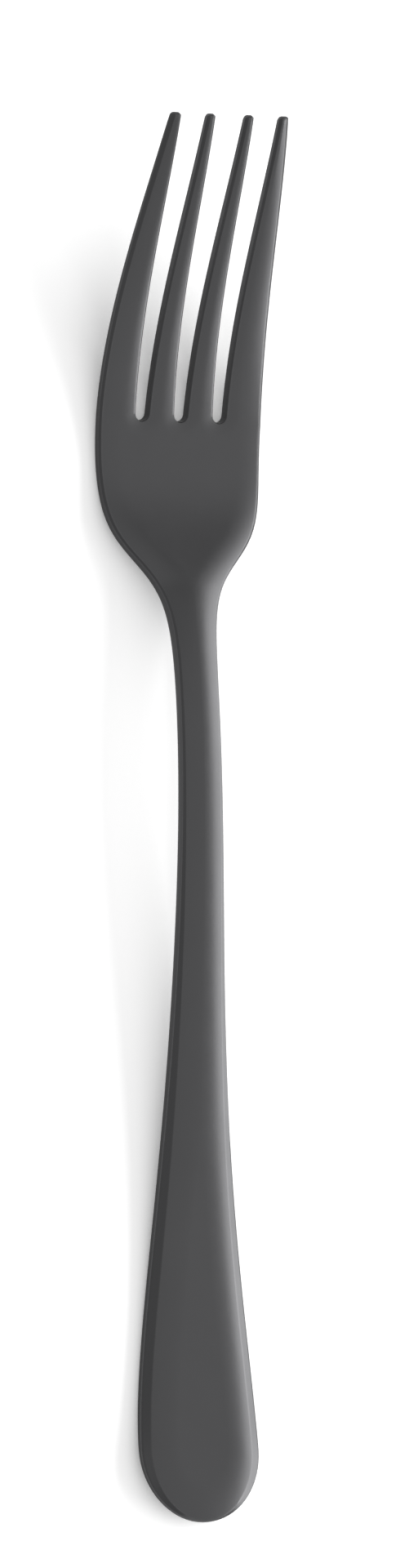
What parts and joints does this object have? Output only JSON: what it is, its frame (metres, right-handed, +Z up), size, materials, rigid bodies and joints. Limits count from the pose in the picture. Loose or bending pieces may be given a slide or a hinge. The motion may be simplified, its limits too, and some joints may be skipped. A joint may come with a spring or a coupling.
{
  "type": "dinner fork",
  "caption": "Dinner fork in dark grey satin steel: teardrop handle, slender arched neck, dished head and upswept tapering tines for spearing and lifting food.",
  "frame": {"origin": "middle of the fork's plan outline, on the table it lies on", "axes": "+Y from the handle towards the tines, +Z up out of the face, +X to the right with the tines pointing away"},
  "size_m": [0.0262, 0.2046, 0.0226],
  "materials": {
    "coated_steel": "satin"
  },
  "bodies": {
    "root": {"handle": "coated_steel", "neck": "coated_steel", "head": "coated_steel", "tine_outer_left": "coated_steel", "tine_inner_left": "coated_steel", "tine_inner_right": "coated_steel", "tine_outer_right": "coated_steel"}
  },
  "joints": []
}
